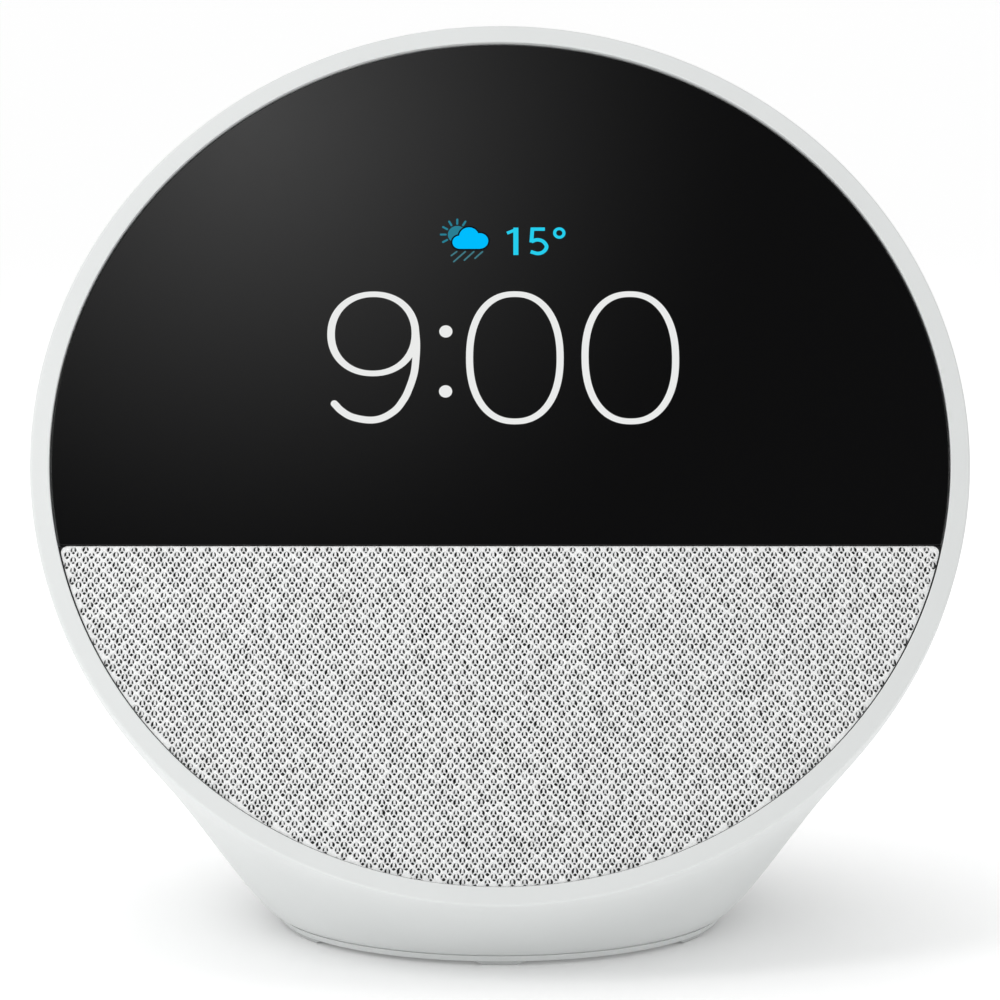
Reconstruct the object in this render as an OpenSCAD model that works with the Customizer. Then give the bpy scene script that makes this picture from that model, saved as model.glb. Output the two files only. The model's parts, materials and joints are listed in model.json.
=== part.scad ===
// Round-faced smart display: a tapered white body with a tilted disc front, a black
// glass window over a knitted speaker grille, three sprung buttons and a weighted base.
// Millimetres. +Z is up, the face looks toward -Y, and the origin is on the table
// under the middle of the body's width and depth.

/* [Face] */
// Diameter of the round face over the rim
face_d = 113; // [108:0.5:116]
// Lean of the face back from vertical, degrees
face_tilt = 27; // [22:0.5:30]
// Overall height, to the top of the rim
body_h = 111; // [108:0.5:114]
// Distance of the face's centre ahead of the base's axis
face_ahead = 16; // [14:0.5:18]
// Width of the rim's flat front
rim_w = 2.33; // [1.8:0.01:3]
// Depth of the rim piece's outer edge
ring_depth = 2.6; // [2.4:0.1:3]
// Depth of the window and the fabric below the rim
window_drop = 0.5; // [0.3:0.1:0.8]
// Distance from the face's centre down to the window's straight lower edge
window_edge = 12.13; // [11:0.01:13]

/* [Body] */
// Diameter of the body where it meets the base
base_d = 55.8; // [54:0.1:58]
// Wall of the moulded shell
wall = 2.4; // [2:0.1:2.8]
// Reach of the dome behind the top of the rim
dome_reach = 63; // [60:0.5:66]
// Reach of the dome behind the base
heel_reach = 64.5; // [60:0.5:66]
// Rise of the body's back where it leaves the base, degrees
heel_angle = 35; // [30:1:40]
// How late the sides taper, and how round the taper ends
taper_power = 1.3; // [1.2:0.05:1.4]

/* [Base] */
// Height of the rubber feet below the base plate
foot_h = 0.5; // [0.4:0.1:1]
// Height of the base plate's visible lip
lip_h = 0.75; // [0.6:0.05:1]
// Height of the shadow groove above the lip
groove_h = 0.15; // [0.1:0.05:0.3]
// Number of rubber feet
foot_count = 6; // [4:1:8]
// Thickness of the steel ballast
ballast_h = 3.2; // [2:0.1:3.4]

/* [Display] */
// Outline of the display module
panel_w = 62; // [60:0.5:63]
panel_h = 47.5; // [46:0.5:48]
// Height of the module's centre above the face's centre
panel_rise = 16.7; // [16:0.1:17]

/* [Speaker] */
// Diameter of the speaker's frame
speaker_d = 44.6; // [44:0.1:44.8]
// Distance of the speaker's axis below the face's centre
speaker_drop = 29.5; // [29:0.1:29.6]
// Cone travel each way
cone_travel = 1.5; // [1:0.1:1.5]

/* [Buttons] */
// Diameter of a button cap
button_d = 10.6; // [10:0.1:11]
// Spacing between buttons
button_pitch = 16.5; // [16:0.1:17]
// Button travel
button_travel = 0.6; // [0.4:0.05:0.6]
// Gap around a cap
button_gap = 0.2; // [0.2:0.01:0.25]

/* [Power inlet] */
// Diameter of the recess that takes the plug's collar
recess_d = 10; // [9:0.1:10]
// Depth of that recess
recess_h = 4; // [3:0.1:4.5]
// Diameter of the socket for the plug's barrel
barrel_d = 4.2; // [4:0.1:4.4]
// Diameter of the centre pin
pin_d = 1.7; // [1.6:0.05:1.8]

/* [Hidden] */
$fn = 96;
EPS = 0.01;

WHITE = [0.88, 0.89, 0.89];
BLACK = [0.05, 0.05, 0.06];
GREY = [0.45, 0.46, 0.48];
STEEL = [0.72, 0.73, 0.75];
BOARD = [0.10, 0.30, 0.20];
COPPER = [0.75, 0.48, 0.28];

// --- Outline of the body -----------------------------------------------------------
face_r = face_d / 2;
base_r = base_d / 2;
housing_z = foot_h + lip_h + groove_h;      // where the shell starts, above the groove
face_z = body_h - face_r * cos(face_tilt);  // the face centre's height
inward = [cos(face_tilt), -sin(face_tilt)]; // into the body, in the side view [y, z]
chin_pull = [0.5, 0.3];                     // how far the curve under the chin carries
chin_angle = 40;                            // slope of the chin where it meets the base

function bezier(a, b, c, d, s) =
  a * pow(1 - s, 3) + 3 * b * s * pow(1 - s, 2) + 3 * c * s * s * (1 - s) + d * s * s * s;

// Side view of the back, from the top of the rim (s = 0) to the base (s = 1),
// measured from the base's axis
rim_top = [-face_ahead + face_r * sin(face_tilt), body_h] + ring_depth * inward;
rim_foot = [-face_ahead - face_r * sin(face_tilt), face_z - face_r * cos(face_tilt)]
  + ring_depth * inward;
base_back = [base_r, housing_z];
base_front = [-base_r, housing_z];
chin = norm(base_front - rim_foot);
function back_raw(s) = bezier(
  rim_top,
  rim_top + dome_reach * inward,
  base_back + heel_reach * [cos(heel_angle), sin(heel_angle)],
  base_back, s);
function front_raw(s) = bezier(
  rim_foot,
  rim_foot + chin_pull[0] * chin * inward,
  base_front + chin_pull[1] * chin * [-cos(chin_angle), sin(chin_angle)],
  base_front, s);

// The base's axis stands where the body's depth is centred on the origin
depth_steps = 60;
back_reach = max([for (i = [0 : depth_steps]) back_raw(i / depth_steps)[0]]);
front_reach = -face_ahead - face_r * sin(face_tilt);
base_y = -(back_reach + front_reach) / 2;
face_y = base_y - face_ahead;
function back(s) = back_raw(s) + [base_y, 0];
function front(s) = front_raw(s) + [base_y, 0];

// Half width of the body along the loft
function half_width(s) =
  base_r + (face_r - base_r) * pow(1 - pow(s, taper_power), 1 / taper_power);

// Outward normals of the two side-view curves
STEP = 0.004;
function unit(v) = v / norm(v);
function turn(v) = [-v[1], v[0]];
function back_normal(s) = turn(unit(back_raw(min(s + STEP, 1)) - back_raw(max(s - STEP, 0))));
function front_normal(s) = -turn(unit(front_raw(min(s + STEP, 1)) - front_raw(max(s - STEP, 0))));

// One ring of the loft: an ellipse between a back point and a front point
ring_points = 64;
function loft_ring(b, f, w) = [
  for (j = [0 : ring_points - 1]) let (a = 360 * j / ring_points)
    [w * cos(a), (b[0] + f[0]) / 2 + (b[0] - f[0]) / 2 * sin(a),
     (b[1] + f[1]) / 2 + (b[1] - f[1]) / 2 * sin(a)]
];
outer_rings = 26;
inner_rings = 14;
opening_r = base_r - wall;          // the hole in the shell's bottom
inner_taper = 0.4;                  // the wall thins toward that hole
function inner_width(s) = half_width(s) - wall * (1 - inner_taper * pow(s, 6));
function shell_rings() = concat(
  [for (i = [0 : outer_rings]) let (s = i / outer_rings)
    loft_ring(back(s), front(s), half_width(s))],
  [loft_ring([base_y + opening_r, housing_z], [base_y - opening_r, housing_z], opening_r)],
  [for (i = [inner_rings : -1 : 0]) let (s = i / inner_rings)
    loft_ring(back(s) - wall * back_normal(s), front(s) - wall * front_normal(s),
      inner_width(s))]
);

// A ring-shaped skin through closed rings; the last ring joins the first
module ring_skin(rings) {
  count = len(rings);
  m = ring_points;
  polyhedron(
    points = [for (r = rings) for (p = r) p],
    faces = [
      for (i = [0 : count - 1]) for (j = [0 : m - 1])
        let (k = (i + 1) % count, a = i * m + j, b = i * m + (j + 1) % m,
             c = k * m + (j + 1) % m, d = k * m + j)
          each [[a, c, b], [a, d, c]]
    ],
    convexity = 6);
}

// --- Local frames ------------------------------------------------------------------
// On the face: x right, y up along the face, z out toward the viewer
module on_face() {
  translate([0, face_y, face_z]) rotate([90 - face_tilt, 0, 0]) children();
}
module on_speaker() {
  on_face() translate([0, -speaker_drop, 0]) children();
}
// On the dome behind the rim: z out along the buttons' travel, y back and down
button_s = 0.11;
button_at = back(button_s);
button_lean = atan2(back_normal(button_s)[0], back_normal(button_s)[1]);
module on_buttons() {
  translate([0, button_at[0], button_at[1]]) rotate([-button_lean, 0, 0]) children();
}
// On the heel: z out of the power inlet
jack_s = 0.8;
jack_at = back(jack_s);
jack_lean = atan2(back_normal(jack_s)[0], back_normal(jack_s)[1]);
module on_jack() {
  translate([0, jack_at[0], jack_at[1]]) rotate([-jack_lean, 0, 0]) children();
}
module on_base() {
  translate([0, base_y, 0]) children();
}

// --- Shared shapes -----------------------------------------------------------------
// A ring between two radii and two heights
module tube(outer, inner, low, high) {
  translate([0, 0, low]) linear_extrude(high - low) difference() {
    circle(outer);
    circle(inner);
  }
}
module disc(r, low, high) {
  translate([0, 0, low]) cylinder(r = r, h = high - low);
}
// A plate centred in x and y
module plate(w, h, low, high) {
  translate([-w / 2, -h / 2, low]) cube([w, h, high - low]);
}
// The part of a face-sized disc above or below the window's edge
module face_segment(r, edge, above, low, high) {
  translate([0, 0, low]) linear_extrude(high - low) intersection() {
    circle(r);
    translate([-r, above ? edge : edge - 2 * r]) square([2 * r, 2 * r]);
  }
}
// A pan-head screw: its head's underside at height z, its shank going down
screw_r = 0.8;
head_r = 1.5;
head_h = 0.8;
pilot_r = 0.85;
module screw(at, z, length) {
  translate([at[0], at[1], z]) {
    cylinder(r = head_r, h = head_h);
    translate([0, 0, -length]) cylinder(r = screw_r, h = length + EPS);
  }
}
// A flat lead or flex: a side-view path [y, z] given a thickness and a width across x
function path_normal(p, i) = turn(unit(p[min(i + 1, len(p) - 1)] - p[max(i - 1, 0)]));
module ribbon(path, thick, width, x = 0) {
  last = len(path) - 1;
  side = [for (i = [0 : last]) path[i] + thick / 2 * path_normal(path, i)];
  other = [for (i = [last : -1 : 0]) path[i] - thick / 2 * path_normal(path, i)];
  translate([x - width / 2, 0, 0]) rotate([90, 0, 90])
    linear_extrude(width) polygon(concat(side, other));
}

// --- Depths of the layers behind the face (negative is into the body) --------------
glass_t = 1.1;
glass_r = face_r - rim_w - 0.2;
glass_back = -window_drop - glass_t;
touch_back = glass_back - 0.3;
panel_back = touch_back - 1.3;
light_back = panel_back - 1.4;
seat_r = 51.8;                     // inside radius of the ring's seat
seat_top = glass_back - 0.05;
skirt_r = 53.1;
chassis_front = -5.4;
chassis_back = -7.4;
chassis_r = 52.7;
cloth_t = 0.7;
cloth_top = -window_drop - 0.05;
cloth_back = cloth_top - cloth_t;
carrier_back = -2.75;
edge_gap = 0.25;                   // between the window's edge and the fabric
board_front = -14;
board_back = -15.2;
gasket_back = -8.4;
flange_back = -9.4;
baffle_back = -11;
flange_r = speaker_d / 2;
hole_r = 19.6;                     // opening for the speaker's basket
window_r = 19.4;                   // chassis opening in front of the cone

ring_bosses = [for (a = [22, 158, -5, 185]) 50.2 * [cos(a), sin(a)]];
board_posts = [[32, 31], [-32, 31], [35, 1], [-35, 1]];
speaker_holes = [for (a = [45 : 90 : 315]) (flange_r - 1.45) * [cos(a), sin(a)]];
chamber_boss_r = 2.2;
chamber_bosses = [[20.6, -12.8], [-20.6, -12.8], [20.8, -43.6], [-20.8, -43.6]];
bracket_holes = [[14, 45.9], [-14, 45.9]];
base_holes = [for (a = [40, 140, 220, 320]) 17 * [cos(a), sin(a)]];

// --- Shell -------------------------------------------------------------------------
mic_x = button_pitch / 2;
mic_hole_r = 0.6;
button_hole_r = button_d / 2 + button_gap;
collar_r = recess_d / 2 + 1;

module rear_housing() {
  cut = 8;
  color(WHITE) difference() {
    ring_skin(shell_rings());
    on_buttons() for (x = [-button_pitch, 0, button_pitch])
      translate([x, 0, -cut]) cylinder(r = button_hole_r, h = 2 * cut);
    on_buttons() for (x = [-mic_x, mic_x])
      translate([x, 0, -cut]) cylinder(r = mic_hole_r, h = 2 * cut, $fn = 24);
    on_jack() translate([0, 0, -cut]) cylinder(r = collar_r + 0.1, h = 2 * cut);
  }
}

// The white rim: flat front, seat for the window, skirt down to the chassis
module front_ring() {
  edge = 0.35;
  lip = 0.3;
  inner = face_r - rim_w;
  boss_r = 2.4;
  pilot_top = -3;
  color(WHITE) on_face() difference() {
    union() {
      rotate_extrude() polygon([
        [face_r, -ring_depth], [face_r, -edge], [face_r - edge, 0], [inner + lip, 0],
        [inner, -lip], [inner, seat_top], [seat_r, seat_top], [seat_r, chassis_front],
        [skirt_r, chassis_front], [skirt_r, -ring_depth]]);
      for (p = ring_bosses) translate(p) disc(boss_r, chassis_front, touch_back - 0.3);
    }
    for (p = ring_bosses) translate(p) disc(pilot_r, chassis_front - EPS, pilot_top);
  }
}

// --- Display -----------------------------------------------------------------------
module display_glass() {
  bevel = 0.15;
  color(BLACK) on_face()
    face_segment(glass_r, -window_edge, true, glass_back, -window_drop - bevel);
  color(BLACK) on_face()
    face_segment(glass_r - bevel, bevel - window_edge, true,
      -window_drop - bevel - EPS, -window_drop);
}

module touch_sensor() {
  margin = 1.5;
  color([0.2, 0.2, 0.22]) on_face()
    face_segment(seat_r - 0.3, margin - window_edge, true, touch_back, glass_back);
}

module panel_frame() {
  on_face() translate([0, panel_rise, 0]) children();
}

module display_panel() {
  rim = 0.6;
  color([0.02, 0.02, 0.03]) panel_frame()
    plate(panel_w - 2 * rim, panel_h - 2 * rim, panel_back, touch_back);
}

module backlight_unit() {
  rim = 0.8;
  color([0.9, 0.9, 0.92]) panel_frame()
    plate(panel_w - 2 * rim, panel_h - 2 * rim, light_back, panel_back);
}

// Pressed tray round the panel and the backlight
module display_frame() {
  sheet = 0.4;
  flex_w = 20;
  color(STEEL) panel_frame() difference() {
    plate(panel_w, panel_h, light_back - sheet, touch_back);
    plate(panel_w - 1, panel_h - 1, light_back, touch_back + EPS);
    translate([0, -panel_h / 2, 0]) plate(flex_w, 4, light_back - 1, panel_back);
  }
}

// Printed flex folded from the panel's lower edge through the chassis to the main board
panel_low = panel_rise - panel_h / 2;
flex_slot_v = panel_low + 4;
module display_flex() {
  width = 16;
  flex_t = 0.2;
  gap_w = (light_back - 0.4 + chassis_front) / 2;
  color(COPPER) on_face() ribbon([
    [panel_low + 0.6, -3.9], [panel_low - 0.3, -4.1], [panel_low - 0.3, gap_w + 0.15],
    [panel_low + 0.4, gap_w], [panel_low + 3.4, gap_w], [flex_slot_v, gap_w - 0.7],
    [flex_slot_v, -10.6], [flex_slot_v + 0.8, -11.8], [flex_slot_v + 3.4, -11.8]],
    flex_t, width);
}

module light_sensor() {
  v = 47;
  chip_t = 0.9;
  board_t = 0.3;
  color(BLACK) on_face() translate([0, v, 0]) {
    plate(2.6, 2, touch_back - chip_t, touch_back);
    plate(8, 4, touch_back - chip_t - board_t, touch_back - chip_t + EPS);
  }
}

// --- Grille ------------------------------------------------------------------------
module grille_fabric() {
  color([0.83, 0.84, 0.84]) on_face()
    face_segment(glass_r - 0.1, -window_edge - edge_gap, false, cloth_back, cloth_top);
}

// Moulded plate behind the fabric, pierced in front of the cone
module grille_carrier() {
  pitch = 4.2;
  pierce_r = 1.35;
  rows = 5;
  edge = -window_edge - edge_gap;
  rib = 1.4;
  color(BLACK) on_face() {
    difference() {
      union() {
        face_segment(seat_r - 0.25, edge, false, carrier_back, cloth_back);
        face_segment(glass_r - 0.5, edge, false, seat_top + 0.03, cloth_back);
      }
      translate([0, -speaker_drop, 0]) for (i = [-rows : rows], j = [-rows : rows]) {
        x = pitch * (i + (abs(j) % 2) / 2);
        y = pitch * j * sin(60);
        if (norm([x, y]) < window_r - pierce_r && y < speaker_drop + edge - 3)
          translate([x, y, carrier_back - 1]) cylinder(r = pierce_r, h = 4, $fn = 24);
      }
    }
    difference() {
      face_segment(seat_r - 0.25, edge, false, chassis_front, carrier_back + EPS);
      face_segment(seat_r - 0.25 - rib, edge - rib, false, chassis_front - 1, carrier_back + 1);
      for (p = chamber_bosses) translate(p)
        disc(head_r + 0.4, chassis_front - 1, carrier_back - 0.5);
    }
  }
}

// --- Chassis -----------------------------------------------------------------------
slot_w = 20;
slot_h = 3;
module front_chassis() {
  post_r = 2.4;
  color(GREY) on_face() difference() {
    union() {
      disc(chassis_r, chassis_back, chassis_front);
      for (p = board_posts) translate(p) disc(post_r, board_front, chassis_back + EPS);
      for (p = chamber_bosses) translate(p) disc(chamber_boss_r, flange_back, chassis_back + EPS);
    }
    translate([0, -speaker_drop, 0]) disc(window_r, chassis_back - 1, chassis_front + 1);
    translate([0, flex_slot_v, 0]) plate(slot_w, slot_h, chassis_back - 1, chassis_front + 1);
    for (p = board_posts) translate(p) disc(pilot_r, board_front - 1, board_front + 5);
    for (p = chamber_bosses) translate(p) disc(pilot_r, flange_back - 1, chassis_front + 1);
    for (p = ring_bosses) translate(p) disc(pilot_r, chassis_back - 1, chassis_front + 1);
    for (p = bracket_holes) translate(p) disc(pilot_r, chassis_back - 1, chassis_back + 1.5);
  }
}

// Screws that come in from behind are turned over
module screws_from_behind(places, z, length) {
  for (p = places) translate([p[0], p[1], z]) rotate([180, 0, 0]) screw([0, 0], 0, length);
}
module ring_screws() {
  color(STEEL) on_face() screws_from_behind(ring_bosses, chassis_back, 4);
}

// --- Speaker -----------------------------------------------------------------------
surround_out = 19;
surround_in = 15.6;
cone_r = 15.9;
neck_r = 6.5;
neck_z = -12.2;
rim_z = -8.7;
coil_in = 6.1;
coil_out = 6.5;
coil_back = -19.4;
winding_top = -17.4;
magnet_front = -18.2;
magnet_back = -24;
magnet_r = 14.5;
yoke_back = -26;
seat_z = -13.8;                    // shelf that carries the spider
basket_back = -16.2;

module speaker_gasket() {
  color(BLACK) on_speaker() difference() {
    tube(flange_r, window_r, gasket_back, chassis_back);
    for (p = speaker_holes) translate(p) disc(head_r + 0.2, gasket_back - 1, chassis_back + 1);
  }
}

// Pressed basket: flange, sloping wall with six windows, and a floor for the magnet
module speaker_basket() {
  t = 0.8;
  floor_r = 13.4;
  color(GREY) on_speaker() difference() {
    rotate_extrude() polygon([
      [flange_r, flange_back], [flange_r, gasket_back], [surround_out + 0.1, gasket_back],
      [surround_out - 0.7, gasket_back - 1.4], [surround_out - 1, flange_back - 1.5],
      [floor_r, seat_z], [floor_r - 2, seat_z], [floor_r - 2, seat_z - 0.6],
      [floor_r - 0.8, seat_z - 0.6], [floor_r - 0.8, basket_back + t],
      [8, basket_back + t], [8, basket_back], [floor_r, basket_back],
      [floor_r + t, basket_back], [floor_r + t, seat_z - t],
      [surround_out + 0.1, flange_back - 1.7], [surround_out + 0.1, flange_back]]);
    for (p = speaker_holes) translate(p) disc(pilot_r + 0.05, flange_back - 1, gasket_back + 1);
    for (a = [0 : 60 : 300]) rotate(a) translate([16, 0, -12.2]) rotate([0, 55, 0])
      cylinder(r = 1.6, h = 6, center = true, $fn = 32);
  }
}

// Half-roll surround between the cone's edge and the basket
module speaker_surround() {
  mid = (surround_out + surround_in) / 2;
  roll = (surround_out - surround_in) / 2 - 0.35;
  t = 0.35;
  base = -8.35;
  color(BLACK) on_speaker() rotate_extrude() {
    translate([mid, base + 0.3]) intersection() {
      difference() {
        circle(roll, $fn = 32);
        circle(roll - t, $fn = 32);
      }
      translate([-roll, 0]) square([2 * roll, 2 * roll]);
    }
    translate([surround_in, base]) square([0.35 + t, t]);
    translate([surround_out - 0.35 - t, base]) square([0.35 + t, t]);
  }
}

module speaker_cone() {
  t = 0.4;
  color([0.12, 0.12, 0.13]) on_speaker() rotate_extrude() polygon([
    [cone_r, rim_z - 0.05], [cone_r, rim_z + 0.3], [cone_r - 1, rim_z + 0.3],
    [neck_r + 0.05, neck_z + t], [neck_r + 0.05, neck_z - 0.2], [neck_r + 0.5, neck_z - 0.2],
    [cone_r - 0.8, rim_z - 0.1]]);
}

module dust_cap() {
  sphere_r = 9;
  rim = 6.4;
  t = 0.35;
  drop = sqrt(sphere_r * sphere_r - rim * rim);
  color([0.09, 0.09, 0.1]) on_speaker() translate([0, 0, neck_z + 0.1 - drop])
    difference() {
      intersection() {
        sphere(sphere_r);
        translate([0, 0, drop]) cylinder(r = rim, h = sphere_r);
      }
      sphere(sphere_r - t);
    }
}

module voice_coil() {
  color(COPPER) on_speaker() {
    tube(coil_in + 0.25, coil_in, winding_top, neck_z);
    tube(coil_out, coil_in, coil_back, winding_top);
  }
}

// Corrugated spider that centres the coil
module speaker_spider() {
  t = 0.3;
  waves = 4;
  inner = coil_out + 0.1;
  outer = 12.4;
  steps = 8 * waves;
  amp = 0.28;
  mid = seat_z + t / 2 + amp;
  function wave(i) = [inner + (outer - inner) * i / steps, mid + amp * sin(360 * waves * i / steps)];
  color([0.75, 0.6, 0.25]) on_speaker() rotate_extrude() polygon(concat(
    [for (i = [0 : steps]) wave(i) + [0, t / 2]],
    [for (i = [steps : -1 : 0]) wave(i) - [0, t / 2]]));
}

module speaker_top_plate() {
  color(STEEL) on_speaker() tube(magnet_r - 0.7, coil_out + 0.4, magnet_front, basket_back);
}
module speaker_magnet() {
  color([0.2, 0.2, 0.21]) on_speaker() tube(magnet_r, 8.2, magnet_back, magnet_front);
}
module speaker_yoke() {
  pole_r = coil_in - 0.4;
  color(STEEL) on_speaker() {
    disc(magnet_r - 0.7, yoke_back, magnet_back);
    disc(pole_r, magnet_back - EPS, basket_back);
  }
}
module speaker_screws() {
  color(STEEL) on_speaker() for (p = speaker_holes) screw(p, gasket_back, 2.4);
}

// --- Speaker box -------------------------------------------------------------------
box_w = 47;
box_r = 51.4;                      // stays inside the shell's round front
box_t = 1.6;
boss_top = 13;
boss_r = 3;
baffle_h = 44.4;
box_side = [[baffle_back, -51], [-28, -46.6], [-50, -34.5], [-50, -9], [-20, -6.5],
  [baffle_back, -6.8]];

// The box's outline as a prism across x, drawn in the face's frame
module box_prism(width, outline) {
  translate([-width / 2, 0, 0]) rotate([90, 0, 90])
    linear_extrude(width) polygon([for (p = outline) [p[1], p[0]]]);
}
module speaker_chamber() {
  inner_side = [[1, -52.4], [-28.2, -44.9], [-48.4, -33.5], [-48.4, -10.6], [-20, -8.1],
    [1, -8.4]];
  color(BLACK) difference() {
    union() {
      on_face() difference() {
        intersection() {
          box_prism(box_w, box_side);
          disc(box_r, -60, 0);
        }
        intersection() {
          box_prism(box_w - 2 * box_t, inner_side);
          disc(box_r - box_t, -60, 1);
        }
      }
      on_base() for (p = base_holes) translate(p) disc(boss_r, ballast_top, boss_top);
      on_face() for (p = chamber_bosses) translate([p[0], p[1], 0])
        disc(chamber_boss_r, baffle_back - 6, baffle_back);
    }
    on_base() for (p = base_holes) translate(p) disc(pilot_r, 0, boss_top - 1.5);
    on_face() for (p = chamber_bosses) translate(p) disc(pilot_r, baffle_back - 5, 0);
    on_face() disc(60, baffle_back, 10);
  }
}
// Front wall of the box, which the speaker is screwed to
module speaker_baffle() {
  color(BLACK) on_face() difference() {
    intersection() {
      translate([0, -29, 0]) plate(box_w, baffle_h, baffle_back, flange_back);
      disc(box_r, -60, 0);
    }
    translate([0, -speaker_drop, 0]) {
      disc(hole_r, baffle_back - 1, flange_back + 1);
      for (p = speaker_holes) translate(p) disc(pilot_r, baffle_back - 1, flange_back + 1);
    }
    for (p = chamber_bosses) translate(p) disc(pilot_r, baffle_back - 1, flange_back + 1);
  }
}
// Long screws from the chassis's front through the baffle into the box
module chamber_screws() {
  color(STEEL) on_face() for (p = chamber_bosses) screw(p, chassis_front, 8.4);
}
module speaker_lead() {
  color([0.6, 0.1, 0.1]) on_face() ribbon([
    [-6.2, -14.6], [-5.6, -12.9], [-4.05, -12.6]], 0.9, 2, -17);
}

// --- Electronics -------------------------------------------------------------------
board_w = 77;
board_h = 41;
board_low = -4;
board_r = 47;                      // the board's corners follow the round body
processor_at = [-6, 16, 0];
radio_at = [20, 16, 0];
module main_board() {
  color(BOARD) on_face() difference() {
    translate([0, 0, board_back]) linear_extrude(board_front - board_back) intersection() {
      circle(board_r);
      translate([-board_w / 2, board_low]) square([board_w, board_h]);
    }
    for (p = board_posts) translate(p) disc(pilot_r, board_back - 1, board_front + 1);
  }
}
module shield_can(w, h, low, high) {
  t = 0.3;
  difference() {
    plate(w, h, low, high);
    plate(w - 2 * t, h - 2 * t, low + t, high + EPS);
  }
}
module processor_shield() {
  color(STEEL) on_face() translate(processor_at) shield_can(26, 22, board_back - 2, board_back);
}
module radio_shield() {
  color(STEEL) on_face() translate(radio_at) shield_can(15, 18, board_back - 1.8, board_back);
}
module board_chips() {
  color(BLACK) on_face() {
    translate([-10, 19, 0]) plate(11, 11, board_back - 1.2, board_back);
    translate([2, 12, 0]) plate(8, 10, board_back - 1, board_back);
    translate([20, 17, 0]) plate(7, 7, board_back - 0.9, board_back);
    translate([-29, 14, 0]) plate(6, 6, board_back - 1.1, board_back);
    translate([-28, 23, 0]) plate(5, 4, board_back - 2, board_back);
    translate([32, 8, 0]) plate(4, 5, board_back - 1, board_back);
  }
}
module board_connectors() {
  color([0.9, 0.88, 0.8]) on_face() {
    translate([0, -1.2, 0]) plate(18, 3.6, board_front, board_front + 2);
    translate([-17, -3.2, 0]) plate(5, 1.5, board_front, board_front + 2.5);
    translate([6, 33.5, 0]) plate(12, 4, board_back - 1.6, board_back);
    translate([22, -0.5, 0]) plate(7, 4.5, board_back - 4, board_back);
  }
}
pad_back = board_back - 3;
module thermal_pad() {
  color([0.6, 0.65, 0.8]) on_face() translate(processor_at)
    plate(20, 18, pad_back, board_back - 2);
}
module heat_spreader() {
  fins = 5;
  fin_pitch = 8;
  fin_h = 5;
  low = pad_back - 1.2;
  color([0.8, 0.8, 0.82]) on_face() translate(processor_at) {
    plate(40, 32, low, pad_back);
    for (i = [0 : fins - 1]) translate([(i - (fins - 1) / 2) * fin_pitch, 0, 0])
      plate(1.6, 30, low - fin_h, low + EPS);
  }
}
module board_screws() {
  color(STEEL) on_face() screws_from_behind(board_posts, board_back, 5);
}
// A printed antenna standing against the inside of the shell's flank
module antenna(side) {
  size = [0.8, 20, 16];
  color(COPPER) on_face() translate([side * 45.5, 8, -22]) rotate([0, side * 6, 0])
    cube(size, center = true);
}
module antenna_left() {
  antenna(-1);
}
module antenna_right() {
  antenna(1);
}

// --- Buttons -----------------------------------------------------------------------
// Heights below the dome's surface, along the buttons' axis
dome_r = 54;                       // the dome's curvature across the row of buttons
proud = 0.15;
plunger_top = -9.7;
switch_top = -10.4;
button_board_front = -12.4;
button_board_back = -13.4;
bracket_back = -14.8;
flange_t = 1;
flange_grow = 0.8;
under_gap = 0.35;                  // between the flange and the shell
stem_r = 1.4;
switch_w = 4.5;
button_board_w = 44;
button_board_h = 12;
// The retaining flange sits just under the shell's inner surface at its lowest edge
function flange_top(x) = let (r = dome_r - wall, reach = abs(x) + button_d / 2 + flange_grow)
  sqrt(r * r - reach * reach) - dome_r - under_gap;

module button_cap(x) {
  top = flange_top(x);
  color(WHITE) on_buttons() {
    intersection() {
      translate([x, 0, top - flange_t]) cylinder(r = button_d / 2, h = 20);
      translate([0, 0, proud - dome_r]) sphere(dome_r, $fn = 128);
    }
    translate([x, 0, 0]) disc(button_d / 2 + flange_grow, top - flange_t, top);
    translate([x, 0, 0]) disc(stem_r, plunger_top, top - flange_t + EPS);
  }
}
module volume_down_button() {
  button_cap(-button_pitch);
}
module mute_button() {
  button_cap(0);
}
module volume_up_button() {
  button_cap(button_pitch);
}

plunger_r = 1;
module switch_bodies() {
  color(BLACK) on_buttons() for (x = [-button_pitch, 0, button_pitch])
    translate([x, 0, 0]) difference() {
      plate(switch_w, switch_w, button_board_front, switch_top);
      disc(plunger_r + 0.05, switch_top - 1.5, switch_top + 1);
    }
}
module plunger(x) {
  color(GREY) on_buttons() translate([x, 0, 0]) disc(plunger_r, switch_top - 0.6, plunger_top);
}
module plunger_down() {
  plunger(-button_pitch);
}
module plunger_mute() {
  plunger(0);
}
module plunger_up() {
  plunger(button_pitch);
}
module button_board() {
  color(BOARD) on_buttons() plate(button_board_w, button_board_h, button_board_back, button_board_front);
}
// Bracket under the button board, with a front tab screwed to the chassis
module button_bracket() {
  color(GREY) {
    difference() {
      on_buttons() translate([-18, -14, bracket_back])
        cube([36, 20, button_board_back - bracket_back]);
      on_face() translate([0, 45, 0]) plate(80, 40, chassis_back, chassis_back + 8);
    }
    on_face() difference() {
      translate([0, 44.6, 0]) plate(36, 6.4, chassis_back - 1.4, chassis_back);
      for (p = bracket_holes) translate(p) disc(pilot_r, chassis_back - 2, chassis_back + 1);
    }
  }
}
module bracket_screws() {
  color(STEEL) on_face() screws_from_behind(bracket_holes, chassis_back - 1.4, 2.7);
}
module microphones() {
  color([0.8, 0.75, 0.5]) on_buttons() for (x = [-mic_x, mic_x])
    translate([x, 0, 0]) plate(3.5, 2.7, button_board_front, button_board_front + 1);
}
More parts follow.
